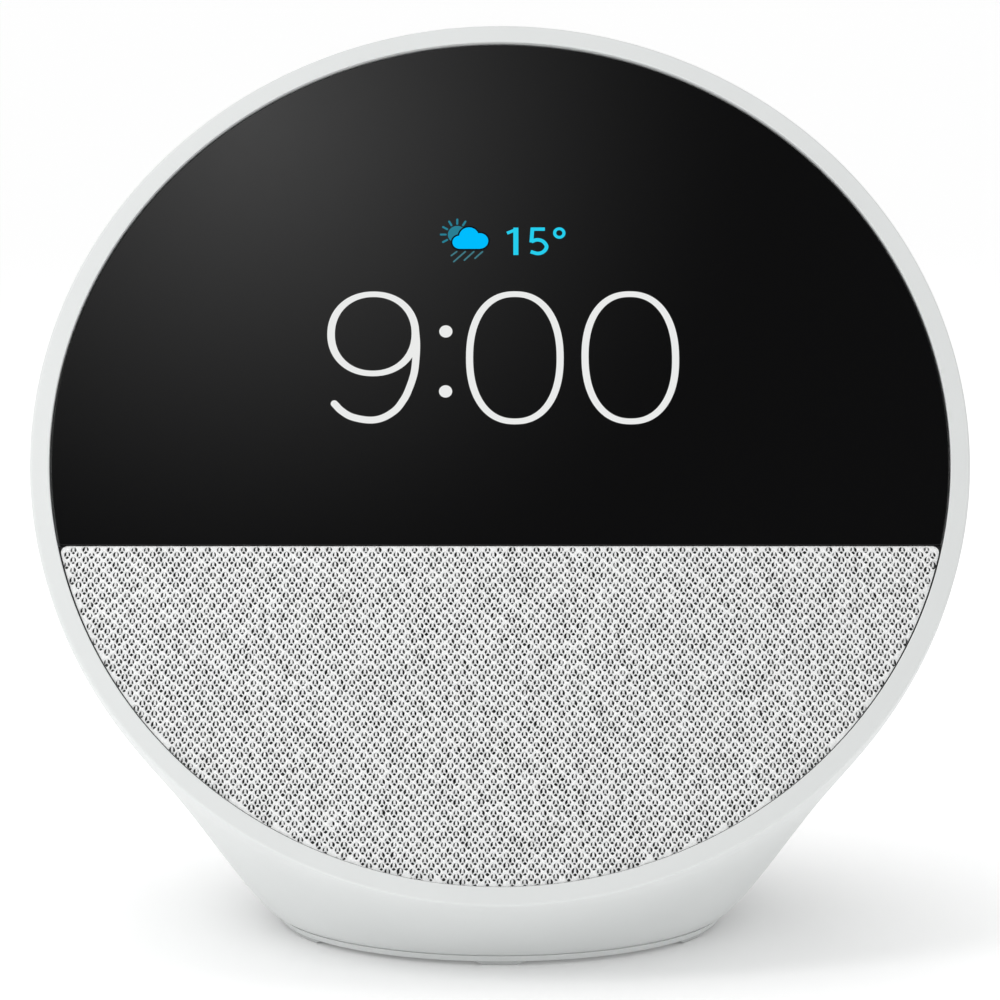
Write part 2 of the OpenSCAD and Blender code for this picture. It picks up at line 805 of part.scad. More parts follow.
// Rubber ducts from the two sound holes down to the microphones
module mic_boots() {
  boot_r = 1.7;
  low = button_board_front + 1;
  high = sqrt(pow(dome_r - wall, 2) - pow(mic_x + boot_r, 2)) - dome_r - under_gap;
  color(BLACK) on_buttons() for (x = [-mic_x, mic_x])
    translate([x, 0, 0]) tube(boot_r, mic_hole_r, low, high);
}
module button_flex() {
  color(COPPER) ribbon([
    [18.3, 86.6], [17.4, 84.6], [15.5, 82.3], [11, 81.6], [4.6, 83.15]], 0.2, 10, 6);
}

// --- Power inlet -------------------------------------------------------------------
collar_back = -6;
jack_back = -17;
socket_back = -14;
collar_proud = 0.1;
module dc_jack() {
  body_w = 10;
  color(BLACK) on_jack() difference() {
    union() {
      disc(collar_r, collar_back, collar_proud);
      plate(body_w, body_w, jack_back, collar_back + EPS);
    }
    disc(recess_d / 2, collar_proud - recess_h, 1);
    disc(barrel_d / 2, socket_back, 0);
  }
}
module jack_pin() {
  color(STEEL) on_jack() disc(pin_d / 2, socket_back, -5);
}
module power_board() {
  color(BOARD) on_jack() translate([-9, -6.2, -27]) cube([18, 1.2, 20]);
}
module power_lead() {
  color([0.6, 0.1, 0.1]) ribbon([
    [21.5, 47.5], [16, 50], [6, 52], [-2, 51], [-6.4, 49.3]], 1.2, 2.4, 22);
}

// --- Base --------------------------------------------------------------------------
plug_top = 2.6;                    // top of the plate's spigot inside the shell
ballast_top = plug_top + ballast_h;
module ballast_plate() {
  color([0.35, 0.36, 0.38]) on_base() difference() {
    disc(opening_r - 1.6, plug_top, ballast_top);
    for (p = base_holes) translate(p) disc(pilot_r + 0.2, 0, ballast_top + 1);
  }
}
module base_plate() {
  slope = 0.5;                     // the lip draws in toward the table
  groove = 0.7;
  recess_r = 3;
  color(WHITE) on_base() difference() {
    rotate_extrude() polygon([
      [0, foot_h], [base_r - slope, foot_h], [base_r, foot_h + lip_h],
      [base_r - groove, foot_h + lip_h], [base_r - groove, housing_z],
      [opening_r - 0.15, housing_z], [opening_r - 0.15, plug_top], [0, plug_top]]);
    for (p = base_holes) translate(p) {
      disc(pilot_r + 0.2, 0, plug_top + 1);
      disc(recess_r, 0, foot_h + 1);
    }
  }
}
// Rubber foot pads, one arc each, standing under the lip
module base_foot() {
  sweep = 12;
  pad_in = 21;
  pad_out = base_r - 0.6;
  color([0.7, 0.71, 0.7]) on_base() for (i = [0 : foot_count - 1])
    rotate(360 * i / foot_count - 90 - sweep / 2)
      rotate_extrude(angle = sweep) translate([pad_in, 0]) square([pad_out - pad_in, foot_h]);
}
module base_screws() {
  color(STEEL) on_base() for (p = base_holes) translate([p[0], p[1], foot_h + 1])
    rotate([180, 0, 0]) screw([0, 0], 0, 9);
}

rear_housing();
front_ring();
display_glass();
touch_sensor();
display_panel();
backlight_unit();
display_frame();
display_flex();
light_sensor();
grille_fabric();
grille_carrier();
front_chassis();
ring_screws();
speaker_gasket();
speaker_basket();
speaker_surround();
speaker_cone();
dust_cap();
voice_coil();
speaker_spider();
speaker_top_plate();
speaker_magnet();
speaker_yoke();
speaker_screws();
speaker_baffle();
speaker_chamber();
chamber_screws();
speaker_lead();
main_board();
processor_shield();
radio_shield();
board_chips();
board_connectors();
thermal_pad();
heat_spreader();
board_screws();
antenna_left();
antenna_right();
button_bracket();
bracket_screws();
button_board();
switch_bodies();
plunger_down();
plunger_mute();
plunger_up();
volume_down_button();
mute_button();
volume_up_button();
microphones();
mic_boots();
button_flex();
dc_jack();
jack_pin();
power_board();
power_lead();
ballast_plate();
base_plate();
base_foot();
base_screws();
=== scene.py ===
"""A round-faced smart display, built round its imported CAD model: white body, black
window with a lit clock, knitted speaker grille, three buttons and a power inlet."""
import json
import math

import bmesh
import bpy
import numpy as np
from mathutils import Matrix, Vector


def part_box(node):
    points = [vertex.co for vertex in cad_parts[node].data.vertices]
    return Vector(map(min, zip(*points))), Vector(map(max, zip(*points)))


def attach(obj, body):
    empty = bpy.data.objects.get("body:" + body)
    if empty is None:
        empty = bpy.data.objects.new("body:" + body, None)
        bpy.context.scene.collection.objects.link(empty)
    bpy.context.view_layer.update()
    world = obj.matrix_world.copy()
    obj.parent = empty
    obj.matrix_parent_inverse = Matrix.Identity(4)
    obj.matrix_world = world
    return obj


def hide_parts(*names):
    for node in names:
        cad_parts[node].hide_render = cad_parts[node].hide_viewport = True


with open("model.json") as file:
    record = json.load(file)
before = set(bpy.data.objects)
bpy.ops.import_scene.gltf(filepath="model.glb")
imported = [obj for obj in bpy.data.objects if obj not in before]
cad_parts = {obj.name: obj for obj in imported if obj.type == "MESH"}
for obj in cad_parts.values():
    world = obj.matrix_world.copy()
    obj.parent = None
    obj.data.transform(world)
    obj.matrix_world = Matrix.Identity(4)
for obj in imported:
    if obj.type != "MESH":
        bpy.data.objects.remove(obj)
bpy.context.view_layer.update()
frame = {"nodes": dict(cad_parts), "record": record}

MM = 0.001

# --- Driving dimensions, the same as the CAD model's, in millimetres -----------------
FACE_R = 56.5
TILT = math.radians(27)
BODY_H = 111.0
FACE_AHEAD = 16.0      # from the base's middle forward to the face's centre
RIM_W = 2.33
RING_DEPTH = 2.6
WINDOW_DROP = 0.5
WINDOW_EDGE = 11.95
GLASS_T = 1.1
BASE_R = 27.9
BASE_Z = 1.4
WALL = 2.4
DOME_REACH = 63.0      # how far the back bulges under the rim
HEEL_REACH = 64.5      # and above the base
HEEL_ANGLE = math.radians(35)
CHIN_ANGLE = math.radians(40)
TAPER = 1.3            # how late the sides draw in toward the base
BUTTON_R = 5.3
BUTTON_GAP = 0.2
BUTTON_PITCH = 16.5
BUTTON_S = 0.11        # place along the back, 0 at the rim and 1 at the base
DOME_R = 54.0          # radius of the button caps' dome
BUTTON_PROUD = 0.15
JACK_S = 0.8
COLLAR_R = 6.1         # black collar of the power inlet
MIC_HOLE_R = 0.6
STEM_R = 1.4
STEM_END = -9.7        # just above the switches
FOOT_H = 0.5
LIP_TOP = 1.25

# --- Places, from the frame ------------------------------------------------------------
base_low, base_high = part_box("base_plate")
BASE_Y = (base_low.y + base_high.y) / 2 / MM
FACE_Y = BASE_Y - FACE_AHEAD
FACE_Z = BODY_H - FACE_R * math.cos(TILT)
INWARD = np.array([math.cos(TILT), -math.sin(TILT)])
RIM_INNER = FACE_R - RIM_W
RIM_GAP = 0.2          # round the window and the cloth
GLASS_R = RIM_INNER - RIM_GAP
PRINT = 0.012          # how far lit and printed marks stand off their surface

FACE = Matrix.Translation((0, FACE_Y, FACE_Z)) @ Matrix.Rotation(math.pi / 2 - TILT, 4, "X")


# --- Mesh helpers ------------------------------------------------------------------------
def build(name, points, faces, place=None, smooth=True, sharp=None):
    """A mesh object from points in millimetres, put through place."""
    pts = np.asarray(points, dtype=float)
    if place is not None:
        m = np.array(place)
        pts = pts @ m[:3, :3].T + m[:3, 3]
    mesh = bpy.data.meshes.new(name)
    mesh.from_pydata((pts * MM).tolist(), [], faces)
    mesh.validate()
    obj = bpy.data.objects.new(name, mesh)
    bpy.context.scene.collection.objects.link(obj)
    mesh.polygons.foreach_set("use_smooth", [smooth] * len(mesh.polygons))
    if sharp is not None:
        mesh.set_sharp_from_angle(angle=math.radians(sharp))
    mesh.update()
    return obj


def recalc(obj):
    """Merges doubled points and turns every face outward."""
    bm = bmesh.new()
    bm.from_mesh(obj.data)
    bmesh.ops.remove_doubles(bm, verts=bm.verts, dist=1e-7)
    bmesh.ops.recalc_face_normals(bm, faces=bm.faces)
    bm.to_mesh(obj.data)
    bm.free()


def close_ends(obj):
    """Fills the open rings at the ends of a turned piece."""
    bm = bmesh.new()
    bm.from_mesh(obj.data)
    bmesh.ops.holes_fill(bm, edges=bm.edges, sides=0)
    bmesh.ops.recalc_face_normals(bm, faces=bm.faces)
    bm.to_mesh(obj.data)
    bm.free()


def arc(cx, cy, r, start, end, steps):
    """Points along an arc, angles in radians, both ends included."""
    angles = [start + (end - start) * k / steps for k in range(steps + 1)]
    return [(cx + r * math.cos(a), cy + r * math.sin(a)) for a in angles]


def end_faces(count, total):
    """The first and the last ring of count points, as two closing faces."""
    return [tuple(range(count)), tuple(range(total - 1, total - count - 1, -1))]


def ring_faces(rows, cols, closed_rows=False):
    """Quads between successive rings of the same number of points."""
    faces = []
    for i in range(rows if closed_rows else rows - 1):
        k = (i + 1) % rows
        for j in range(cols):
            n = (j + 1) % cols
            faces.append((i * cols + j, i * cols + n, k * cols + n, k * cols + j))
    return faces


def lathe(name, profile, place=None, segments=192, closed=True, sharp=35):
    """A ring or disc turned about z from a profile of (radius, height) points."""
    pts = []
    for r, z in profile:
        for j in range(segments):
            a = 2 * math.pi * j / segments
            pts.append((r * math.cos(a), r * math.sin(a), z))
    obj = build(name, pts, ring_faces(len(profile), segments, closed), place, sharp=sharp)
    recalc(obj)
    return obj


def fillet(points, radii, steps=5):
    """Rounds the corners of a closed outline; radii gives one radius per corner.

    A support point just beyond each end of an arc keeps the flats' shading flat.
    """
    widest_share, support_share, longest_support = 0.45, 0.2, 0.03
    out = []
    n = len(points)
    for i, r in enumerate(radii):
        p = np.array(points[i], float)
        if r <= 0:
            out.append(tuple(p))
            continue
        a = np.array(points[i - 1], float) - p
        b = np.array(points[(i + 1) % n], float) - p
        la, lb = np.linalg.norm(a), np.linalg.norm(b)
        a, b = a / la, b / lb
        half = math.acos(max(-1, min(1, float(a @ b)))) / 2
        cut = min(r / math.tan(half), widest_share * la, widest_share * lb)
        r = cut * math.tan(half)
        mid = (a + b) / np.linalg.norm(a + b)
        centre = p + mid * r / math.sin(half)
        start, end = p + a * cut - centre, p + b * cut - centre
        support = min(longest_support, support_share * cut)
        out.append(tuple(p + a * (cut + support)))
        for s in range(steps + 1):
            t = s / steps
            d = start * (1 - t) + end * t
            out.append(tuple(centre + d / np.linalg.norm(d) * r))
        out.append(tuple(p + b * (cut + support)))
    return out


# --- Materials ---------------------------------------------------------------------------
def srgb(v):
    """Linear values of a display colour given in 0 to 255."""
    return tuple(((c / 255 + 0.055) / 1.055) ** 2.4 if c > 10 else c / 255 / 12.92 for c in v)


def material(name, colour, rough=0.5, metal=0.0, vary=0.04, grain=900.0, bump=0.02,
             rough_vary=0.06, sheen=0.0, coat=0.0, ior=1.46, stretch=(1, 1, 1), depth=1e-5,
             broad_by=25):
    """A plain surface with a fine grain: noise drives colour, roughness and bump."""
    m = bpy.data.materials.new(name)
    m.use_nodes = True
    tree = m.node_tree
    nodes, links = tree.nodes, tree.links
    shader = nodes["Principled BSDF"]
    shader.inputs["Metallic"].default_value = metal
    shader.inputs["IOR"].default_value = ior
    shader.inputs["Sheen Weight"].default_value = sheen
    shader.inputs["Coat Weight"].default_value = coat
    where = nodes.new("ShaderNodeTexCoord")
    scale = nodes.new("ShaderNodeMapping")
    scale.inputs["Scale"].default_value = stretch
    links.new(where.outputs["Object"], scale.inputs["Vector"])
    fine = nodes.new("ShaderNodeTexNoise")
    fine.inputs["Scale"].default_value = grain
    fine.inputs["Detail"].default_value = 3
    broad = nodes.new("ShaderNodeTexNoise")
    broad.inputs["Scale"].default_value = grain / broad_by
    broad.inputs["Detail"].default_value = 2
    for n in (fine, broad):
        links.new(scale.outputs["Vector"], n.inputs["Vector"])
    ramp = nodes.new("ShaderNodeValToRGB")
    low = [max(0, c * (1 - vary)) for c in colour]
    high = [min(1, c * (1 + vary)) for c in colour]
    ramp.color_ramp.elements[0].position = 0.35
    ramp.color_ramp.elements[1].position = 0.65
    ramp.color_ramp.elements[0].color = (*low, 1)
    ramp.color_ramp.elements[1].color = (*high, 1)
    links.new(broad.outputs["Fac"], ramp.inputs["Fac"])
    links.new(ramp.outputs["Color"], shader.inputs["Base Color"])
    spread = nodes.new("ShaderNodeMapRange")
    spread.inputs["To Min"].default_value = max(0.02, rough - rough_vary)
    spread.inputs["To Max"].default_value = min(1, rough + rough_vary)
    links.new(fine.outputs["Fac"], spread.inputs["Value"])
    links.new(spread.outputs["Result"], shader.inputs["Roughness"])
    if bump > 0:
        b = nodes.new("ShaderNodeBump")
        b.inputs["Strength"].default_value = bump
        b.inputs["Distance"].default_value = depth
        links.new(fine.outputs["Fac"], b.inputs["Height"])
        links.new(b.outputs["Normal"], shader.inputs["Normal"])
    return m


def glowing(name, colour):
    """A lit part of the display: emission with a faint unevenness."""
    m = material(name, [0.0, 0.0, 0.0], rough=0.4, bump=0)
    nodes, links = m.node_tree.nodes, m.node_tree.links
    shader = nodes["Principled BSDF"]
    where = nodes["Texture Coordinate"]
    uneven = nodes.new("ShaderNodeTexNoise")
    uneven.inputs["Scale"].default_value = 6000
    links.new(where.outputs["Object"], uneven.inputs["Vector"])
    ramp = nodes.new("ShaderNodeValToRGB")
    ramp.color_ramp.elements[0].color = (*[c * 0.97 for c in colour], 1)
    ramp.color_ramp.elements[1].color = (*colour, 1)
    links.new(uneven.outputs["Fac"], ramp.inputs["Fac"])
    links.new(ramp.outputs["Color"], shader.inputs["Emission Color"])
    shader.inputs["Emission Strength"].default_value = 1.0
    shader.inputs["Specular IOR Level"].default_value = 0.0
    return m


SHELL = material("shell_satin", (0.748, 0.765, 0.760), rough=0.42, vary=0.006, grain=2600,
                 bump=0.05)
YARN = material("knit_yarn", (0.95, 0.96, 0.955), rough=0.85, vary=0.10, grain=7000, bump=0.6,
                sheen=0.1, depth=6e-5, broad_by=1.4)
# the back loops take the same white yarn as the front, painted darker as shade for their depth in
# the holes
SHADED_CORE = material("knit_core_painted_shade", (0.88, 0.89, 0.885), rough=0.9, vary=0.15, grain=7000, bump=0.6,
                sheen=0.1, depth=6e-5, broad_by=1.4)
WINDOW = material("window_black", (0.0022, 0.0022, 0.0024), rough=0.05, vary=0.0, grain=400,
                  bump=0.0, rough_vary=0.015, ior=1.5)
BLACK = material("moulded_black", (0.012, 0.012, 0.013), rough=0.55, vary=0.1, grain=1800,
                 bump=0.2)
MARK = material("printed_mark", (0.20, 0.205, 0.21), rough=0.55, vary=0.03, grain=4000, bump=0.1)
RUBBER = material("soft_rubber", (0.03, 0.03, 0.032), rough=0.8, vary=0.15, grain=2500, bump=0.4)
FOOT = material("foot_rubber", (0.55, 0.562, 0.558), rough=0.75, vary=0.02, grain=2500, bump=0.3)

SLOT_LOOKS = {
    "shell_white": SHELL,
    "window_glass": WINDOW,
    "black_plastic": BLACK,
    "soft_rubber": RUBBER,
    "foot_grey": FOOT,
    "icon_grey": MARK,
    "touch_film": material("touch_film", (0.02, 0.02, 0.022), rough=0.2, grain=900),
    "panel_black": material("panel_film", (0.01, 0.01, 0.012), rough=0.25, grain=1500),
    "diffuser_white": material("diffuser", (0.85, 0.85, 0.86), rough=0.6, grain=1200),
    "tray_steel": material("tinned_sheet", (0.55, 0.56, 0.58), rough=0.32, metal=1, grain=700,
                           bump=0.1, stretch=(1, 12, 12)),
    "flex_amber": material("polyimide", (0.45, 0.18, 0.03), rough=0.35, vary=0.12, grain=1500),
    "chassis_grey": material("glass_filled", (0.11, 0.115, 0.12), rough=0.6, vary=0.1, bump=0.2),
    "screw_steel": material("plated_steel", (0.5, 0.51, 0.53), rough=0.3, metal=1, grain=2500,
                            bump=0.1),
    "foam_black": material("foam", (0.02, 0.02, 0.02), rough=0.95, vary=0.3, grain=3500, bump=0.8,
                           depth=5e-5),
    "basket_grey": material("coated_pressing", (0.05, 0.052, 0.055), rough=0.45, grain=1800,
                            bump=0.15),
    "cone_black": material("pressed_pulp", (0.02, 0.02, 0.021), rough=0.85, vary=0.25, grain=2200,
                           bump=0.6, depth=4e-5),
    "coil_copper": material("enamelled_wire", (0.55, 0.2, 0.08), rough=0.3, metal=0.9, grain=2500,
                            stretch=(1, 1, 20)),
    "spider_cloth": material("treated_cloth", (0.5, 0.33, 0.1), rough=0.8, vary=0.15, grain=5000,
                             bump=0.6, depth=4e-5),
    "magnet_dark": material("sintered_ferrite", (0.05, 0.05, 0.055), rough=0.6, vary=0.2,
                            grain=2500, bump=0.3),
    "lead_red": material("wire_insulation", (0.35, 0.015, 0.015), rough=0.45, vary=0.05),
    "board_green": material("solder_mask", (0.01, 0.09, 0.04), rough=0.35, vary=0.2, grain=1500,
                            coat=0.3),
    "connector_cream": material("connector_nylon", (0.7, 0.65, 0.52), rough=0.5),
    "pad_blue": material("gap_filler", (0.2, 0.32, 0.55), rough=0.9, vary=0.1, grain=2500,
                         bump=0.5),
    "spreader_alu": material("extruded_aluminium", (0.6, 0.61, 0.63), rough=0.35, metal=1,
                             grain=1500, bump=0.15, stretch=(1, 15, 15)),
    "mic_gold": material("gold_flash", (0.7, 0.5, 0.18), rough=0.3, metal=1, grain=2500),
    "ballast_steel": material("plain_steel_plate", (0.28, 0.29, 0.3), rough=0.45, metal=1,
                              vary=0.15, grain=900, bump=0.2),
    "grille_knit": YARN,
}

for part in frame["record"]["subparts"]:
    cad = frame["nodes"][part["node"]]
    cad.data.materials.clear()
    cad.data.materials.append(SLOT_LOOKS[part["material_slot"]])


def finish_piece(obj, look, body, replaces=()):
    """Gives a piece its one material, its body and the nodes it stands for."""
    obj.data.materials.clear()
    obj.data.materials.append(look)
    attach(obj, body)
    for node in replaces:
        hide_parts(node)
    return obj


# --- Body shell ----------------------------------------------------------------------------
def bezier(a, b, c, d, s):
    """The point at s, from 0 to 1, along a cubic curve."""
    return a * (1 - s) ** 3 + 3 * b * s * (1 - s) ** 2 + 3 * c * s * s * (1 - s) + d * s ** 3


rim_top = np.array([FACE_Y + FACE_R * math.sin(TILT), BODY_H]) + RING_DEPTH * INWARD
rim_foot = (np.array([FACE_Y - FACE_R * math.sin(TILT), FACE_Z - FACE_R * math.cos(TILT)])
            + RING_DEPTH * INWARD)
base_back = np.array([BASE_Y + BASE_R, BASE_Z])
base_front = np.array([BASE_Y - BASE_R, BASE_Z])
chin = float(np.linalg.norm(base_front - rim_foot))


def back(s):
    """Side-view curve of the body's back, from the rim's top down to the base."""
    rearward = np.array([math.cos(HEEL_ANGLE), math.sin(HEEL_ANGLE)])
    return bezier(rim_top, rim_top + DOME_REACH * INWARD,
                  base_back + HEEL_REACH * rearward, base_back, s)


def front(s):
    """Side-view curve under the chin, from the rim's foot to the base."""
    forward = np.array([-math.cos(CHIN_ANGLE), math.sin(CHIN_ANGLE)])
    return bezier(rim_foot, rim_foot + 0.5 * chin * INWARD,
                  base_front + 0.3 * chin * forward, base_front, s)


def half_width(s):
    """Half of the body's width, tapering from the rim to the base."""
    return BASE_R + (FACE_R - BASE_R) * (1 - s ** TAPER) ** (1 / TAPER)


def normal_of(curve, s, sign):
    """Unit normal of a side-view curve; sign picks the side that is outward."""
    step = 0.002
    d = curve(min(s + step, 1)) - curve(max(s - step, 0))
    d = d / np.linalg.norm(d)
    return sign * np.array([-d[1], d[0]])


def loft_ring(b, f, w, cols):
    """An ellipse between a back point and a front point, w wide on each side."""
    a = np.arange(cols) * 2 * math.pi / cols
    y = (b[0] + f[0]) / 2 + (b[0] - f[0]) / 2 * np.sin(a)
    z = (b[1] + f[1]) / 2 + (b[1] - f[1]) / 2 * np.sin(a)
    return np.stack([w * np.cos(a), y, z], axis=1)


def local_frame(s):
    """The frame of a feature on the back: origin on the surface, z along its normal."""
    at = back(s)
    n = normal_of(back, s, 1)
    lean = math.atan2(n[0], n[1])
    return Matrix.Translation((0, at[0], at[1])) @ Matrix.Rotation(-lean, 4, "X")


BUTTONS = local_frame(BUTTON_S)
JACK = local_frame(JACK_S)


def cutter(place, x, r, low, high, segments=96):
    """A round rod to cut a hole with, x to the side of place."""
    obj = lathe("cutter", [(r, low), (r, high)], place @ Matrix.Translation((x, 0, 0)),
                segments, closed=False)
    close_ends(obj)
    return obj


def apply_modifiers(obj):
    deps = bpy.context.evaluated_depsgraph_get()
    made = bpy.data.meshes.new_from_object(obj.evaluated_get(deps))
    obj.modifiers.clear()
    old = obj.data
    obj.data = made
    bpy.data.meshes.remove(old)


def cut_holes(obj, holes, solver, sharp):
    """Cuts the rods out of a piece and shades it smooth below the sharp angle."""
    for hole in holes:
        mod = obj.modifiers.new("hole", "BOOLEAN")
        mod.operation = "DIFFERENCE"
        mod.solver = solver
        mod.object = hole
    apply_modifiers(obj)
    for hole in holes:
        bpy.data.objects.remove(hole)
    obj.data.polygons.foreach_set("use_smooth", [True] * len(obj.data.polygons))
    obj.data.set_sharp_from_angle(angle=math.radians(sharp))


def body_shell():
    """The white housing: a lofted shell with its button, microphone and power holes."""
    cols, outer, inner = 256, 150, 40
    thinning = 0.4
    opening = BASE_R - WALL
    rings = []
    for i in range(outer + 1):
        s = i / outer
        rings.append(loft_ring(back(s), front(s), half_width(s), cols))
    rings.append(loft_ring((BASE_Y + opening, BASE_Z), (BASE_Y - opening, BASE_Z), opening, cols))
    for i in range(inner, -1, -1):
        s = i / inner
        rings.append(loft_ring(back(s) - WALL * normal_of(back, s, 1),
                               front(s) - WALL * normal_of(front, s, -1),
                               half_width(s) - WALL * (1 - thinning * s ** 6), cols))
    obj = build("body_shell", np.concatenate(rings), ring_faces(len(rings), cols, True))
    recalc(obj)
    deep = 8
    holes = [cutter(BUTTONS, x, BUTTON_R + BUTTON_GAP, -deep, deep)
             for x in (-BUTTON_PITCH, 0, BUTTON_PITCH)]
    holes += [cutter(BUTTONS, x, MIC_HOLE_R, -deep, deep, 32)
              for x in (-BUTTON_PITCH / 2, BUTTON_PITCH / 2)]
    holes.append(cutter(JACK, 0, COLLAR_R, -deep, deep))
    cut_holes(obj, holes, "MANIFOLD", 30)
    return finish_piece(obj, SHELL, "body", ["rear_housing"])


body_shell()


def rim():
    """The white rim round the face, with rounded edges and the window's seat."""
    seat_r, seat_top, skirt_r, skirt_back = 51.8, -1.65, 53.1, -5.4
    outline = [(FACE_R, -RING_DEPTH), (FACE_R, 0), (RIM_INNER, 0), (RIM_INNER, seat_top),
               (seat_r, seat_top), (seat_r, skirt_back), (skirt_r, skirt_back),
               (skirt_r, -RING_DEPTH)]
    radii = [0, 0.3, 0.13, 0.1, 0.1, 0.1, 0.1, 0]
    obj = lathe("face_rim", fillet(outline, radii), FACE, segments=288)
    return finish_piece(obj, SHELL, "body", ["front_ring"])


rim()


# --- Window --------------------------------------------------------------------------------
def window_outline(r, edge, corner, steps=220, corner_steps=8):
    """The part of a disc above a straight edge, with rounded corners."""
    v = edge + corner
    x = math.sqrt((r - corner) ** 2 - v * v)
    start = math.atan2(v, x)
    left = arc(-x, v, corner, math.atan2(v, -x), -math.pi / 2, corner_steps)
    right = arc(x, v, corner, -math.pi / 2, start, corner_steps)
    return arc(0, 0, r, start, math.pi - start, steps) + left[1:] + right[:-1]


def slab(name, outline, low, high, place, bevel, steps=3):
    """A plate with a rounded top edge, from an outline of (x, y)."""
    support = 1.15 * bevel
    n = len(outline)
    p = np.array(outline)
    d = np.roll(p, -1, 0) - np.roll(p, 1, 0)
    d /= np.linalg.norm(d, axis=1)[:, None]
    out = np.stack([d[:, 1], -d[:, 0]], axis=1)
    rings = [np.c_[p, np.full(n, low)]]
    for i in range(steps + 1):
        a = math.pi / 2 * i / steps
        rings.append(np.c_[p - out * bevel * (1 - math.cos(a)),
                           np.full(n, high - bevel + bevel * math.sin(a))])
    rings.insert(1, np.c_[p, np.full(n, high - support)])
    rings.append(np.c_[p - out * support, np.full(n, high)])
    pts = np.concatenate(rings)
    faces = ring_faces(len(rings), n)
    faces.append(tuple(range(n - 1, -1, -1)))
    faces.append(tuple(range(len(pts) - n, len(pts))))
    obj = build(name, pts, faces, place, sharp=40)
    recalc(obj)
    return obj


def window():
    """The black-printed glass, a disc cut off along its straight lower edge."""
    outline = window_outline(GLASS_R, -WINDOW_EDGE, corner=0.4)
    obj = slab("window_glass", outline, -WINDOW_DROP - GLASS_T, -WINDOW_DROP, FACE, bevel=0.05)
    return finish_piece(obj, WINDOW, "body", ["display_glass"])


window()

# --- Lit clock and weather ------------------------------------------------------------------
LIT = -WINDOW_DROP + PRINT
# the clock and the weather each have their own height on the face
CLOCK = FACE @ Matrix.Translation((0, 0.18, 0))
WEATHER = FACE @ Matrix.Translation((0, 0.36, 0))
CLOCK_LIGHT = glowing("clock_light", srgb((236, 237, 236)))
CYAN = glowing("cyan_light", srgb((38, 208, 240)))
CLOUD = glowing("cloud_light", srgb((0, 190, 255)))
SUN = glowing("sun_light", srgb((42, 128, 148)))
RAIN = glowing("rain_light", srgb((66, 122, 134)))
HALO = glowing("cloud_outline", srgb((16, 20, 24)))


def catmull(points, steps=10):
    """A smooth curve through the points."""
    p = [np.array(q, float) for q in points]
    p = [2 * p[0] - p[1]] + p + [2 * p[-1] - p[-2]]
    out = []
    for i in range(1, len(p) - 2):
        for k in range(steps):
            t = k / steps
            out.append(0.5 * (2 * p[i] + (p[i + 1] - p[i - 1]) * t
                              + (2 * p[i - 1] - 5 * p[i] + 4 * p[i + 1] - p[i + 2]) * t * t
                              + (3 * p[i] - p[i - 1] - 3 * p[i + 1] + p[i + 2]) * t ** 3))
    out.append(p[-2])
    return out


def round_cap(at, before, width, steps=8):
    """The points of a half circle round the end of a stroke."""
    d = at - before
    a = math.atan2(d[1], d[0]) + math.pi / 2
    return arc(*at, width / 2, a, a - math.pi, steps)[1:-1]


def stroke(path, width, round_ends=True):
    """The outline of a flat line of one width along a path."""
    path = [np.array(q, float) for q in path]
    left, right = [], []
    for i, q in enumerate(path):
        d = path[min(i + 1, len(path) - 1)] - path[max(i - 1, 0)]
        d /= np.linalg.norm(d)
        n = np.array([-d[1], d[0]]) * width / 2
        left.append(q + n)
        right.append(q - n)
    if not round_ends:
        return left + right[::-1]
    far, near = round_cap(path[-1], path[-2], width), round_cap(path[0], path[1], width)
    return left + far + right[::-1] + near


def superellipse(cx, cy, rx, ry, power, count=96):
    """A closed oval; power 2 is an ellipse and more is squarer."""
    out = []
    for i in range(count):
        a = 2 * math.pi * i / count
        c, s = math.cos(a), math.sin(a)
        out.append((cx + rx * math.copysign(abs(c) ** (2 / power), c),
                    cy + ry * math.copysign(abs(s) ** (2 / power), s)))
    return out


def flat_shapes(name, fills, rings, z, place, look, body="body",
                lift=None):
    """One flat piece from filled outlines and from rings given as (outer, inner) outlines."""
    pts, faces = [], []

    def put(outline):
        start = len(pts)
        for x, y in outline:
            pts.append((x, y, z if lift is None else lift(x, y)))
        return start

    for outline in fills:
        start = put(outline)
        faces.append(tuple(range(start, start + len(outline))))
    for outer, inner in rings:
        a, b, n = put(outer), put(inner), len(outer)
        for i in range(n):
            k = (i + 1) % n
            faces.append((a + i, a + k, b + k, b + i))
    obj = build(name, pts, faces, place, smooth=False)
    bm = bmesh.new()
    bm.from_mesh(obj.data)
    bmesh.ops.triangulate(bm, faces=[f for f in bm.faces if len(f.verts) > 4])
    up = place.to_3x3() @ Vector((0, 0, 1))
    for f in bm.faces:
        if f.normal.dot(up) < 0:
            f.normal_flip()
    bm.to_mesh(obj.data)
    bm.free()
    return finish_piece(obj, look, body)


def clock():
    """The digits 9:00 in a thin rounded face."""
    zeros = [(1.8, 11.98), (15.8, 11.98)]
    rings = [(superellipse(*at, 5.92, 8.68, 2.25), superellipse(*at, 5.06, 7.93, 2.25))
             for at in zeros]
    bowl = (-15.4, 15.08)
    rings.append((superellipse(*bowl, 5.58, 5.55, 2.12), superellipse(*bowl, 4.66, 4.82, 2.12)))
    tail = catmull([(-10.26, 15.4), (-10.14, 13.87), (-10.18, 12.08), (-10.42, 9.84),
                    (-11.11, 7.61), (-11.72, 6.37), (-12.63, 5.14), (-14.15, 4.14),
                    (-15.78, 3.85), (-17.84, 4.25), (-19.14, 5.05), (-20.01, 5.97)])
    dots = [superellipse(-6.58, v, 0.8, 0.8, 2, 32) for v in (15.38, 7.56)]
    flat_shapes("clock_digits", [stroke(tail, 0.88)] + dots, rings, LIT, CLOCK, CLOCK_LIGHT)


clock()


